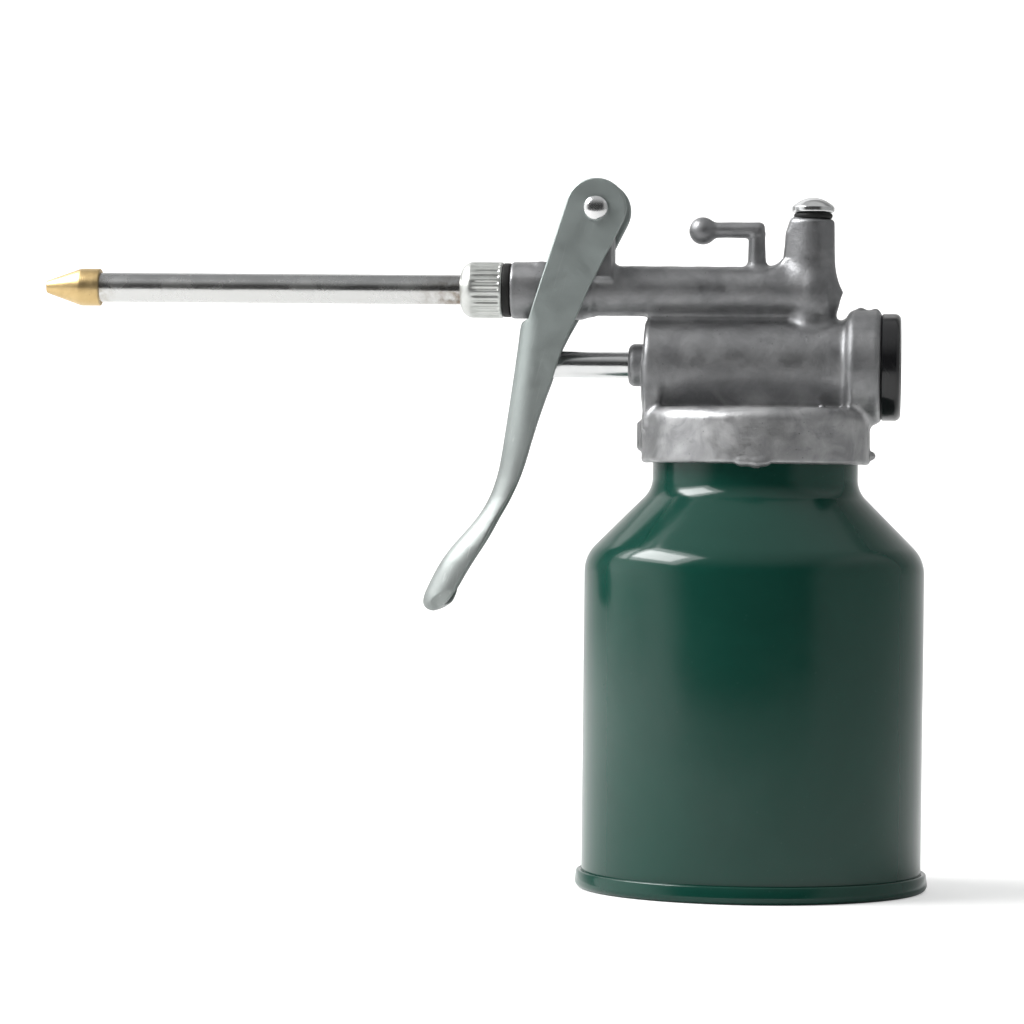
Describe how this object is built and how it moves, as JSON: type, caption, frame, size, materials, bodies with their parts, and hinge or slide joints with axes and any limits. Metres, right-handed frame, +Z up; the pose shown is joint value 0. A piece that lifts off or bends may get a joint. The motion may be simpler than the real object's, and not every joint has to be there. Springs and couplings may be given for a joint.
{
  "type": "handy oiler can",
  "caption": "Hand oiler: a green pressed can with a screw-on die-cast pump head, a squeeze lever, a plunger pump and a long straight spout with a brass tip.",
  "frame": {"origin": "centre of the resting ring on the rest plane, on the can's axis", "axes": "+Z up along the can's axis; +X towards the rear plug of the pump; the spout points to -X"},
  "size_m": [0.1937, 0.076, 0.1527],
  "materials": {
    "green_enamel": "glossy dark green stove enamel",
    "zinc_casting": "grey zinc die casting, satin with darker patches",
    "plated_steel": "dull zinc plate",
    "plated_tube": "bright zinc plate, drawn tube",
    "bright_plate": "bright zinc plate",
    "polished_steel": "polished",
    "spring_steel": "drawn wire",
    "brass": "turned, satin",
    "black_rubber": "matt",
    "black_plastic": "gloss"
  },
  "bodies": {
    "reservoir": {"can_body": "green_enamel", "can_bottom": "green_enamel"},
    "neck_seal": {"neck_gasket": "black_rubber"},
    "pump_head": {"head_casting": "zinc_casting", "suction_tube": "plated_tube", "valve_plug": "polished_steel", "valve_plug_seal": "black_rubber", "rear_plug": "black_plastic", "rear_plug_seal": "black_rubber", "return_spring": "spring_steel", "outlet_spring": "spring_steel", "lever_rivet": "polished_steel", "union_seal": "black_rubber"},
    "lever": {"lever": "plated_steel"},
    "piston": {"piston_rod": "polished_steel", "piston_disc": "plated_steel", "piston_cup": "black_rubber", "spring_seat": "plated_steel", "rod_nut": "plated_steel"},
    "inlet_ball": {"inlet_ball": "polished_steel"},
    "outlet_ball": {"outlet_ball": "polished_steel"},
    "spout": {"spout_tube": "plated_tube", "spout_ferrule": "brass", "nozzle_tip": "brass"},
    "union_nut": {"union_nut": "bright_plate"}
  },
  "joints": [
    {"name": "head_lift", "type": "slide", "parent": "reservoir", "child": "neck_seal", "axis": [0, 0, 1], "range_m": [0, 0.0068]},
    {"name": "head_turn", "type": "hinge", "parent": "neck_seal", "child": "pump_head", "pos_m": [0, 0, 0.1], "axis": [0, 0, 1], "range_deg": [0, 810]},
    {"name": "lever_squeeze", "type": "hinge", "parent": "pump_head", "child": "lever", "pos_m": [-0.0345, 0, 0.1462], "axis": [0, -1, 0], "range_deg": [0, 16]},
    {"name": "piston_slide", "type": "slide", "parent": "pump_head", "child": "piston", "axis": [1, 0, 0], "range_m": [0, 0.0095], "stiffness_N_per_m": 600, "springref_m": -0.01, "deforming": ["return_spring"]},
    {"name": "inlet_ball_lift", "type": "slide", "parent": "pump_head", "child": "inlet_ball", "axis": [0, 0, 1], "range_m": [0, 0.0014]},
    {"name": "outlet_ball_lift", "type": "slide", "parent": "pump_head", "child": "outlet_ball", "axis": [0, 0, 1], "range_m": [0, 0.0015], "stiffness_N_per_m": 150, "springref_m": -0.003, "deforming": ["outlet_spring"]},
    {"name": "spout_draw", "type": "slide", "parent": "pump_head", "child": "spout", "axis": [-1, 0, 0], "range_m": [0, 0.0045]},
    {"name": "nut_turn", "type": "hinge", "parent": "spout", "child": "union_nut", "pos_m": [-0.06, 0, 0.1287], "axis": [-1, 0, 0], "range_deg": [0, 1081]}
  ],
  "couplings": [
    {"joint": "head_lift", "follows": "head_turn", "m_per_rad": 0.00047746},
    {"joint": "piston_slide", "follows": "lever_squeeze", "m_per_rad": 0.0337},
    {"joint": "nut_turn", "follows": "spout_draw", "rad_per_m": 4188.8}
  ]
}
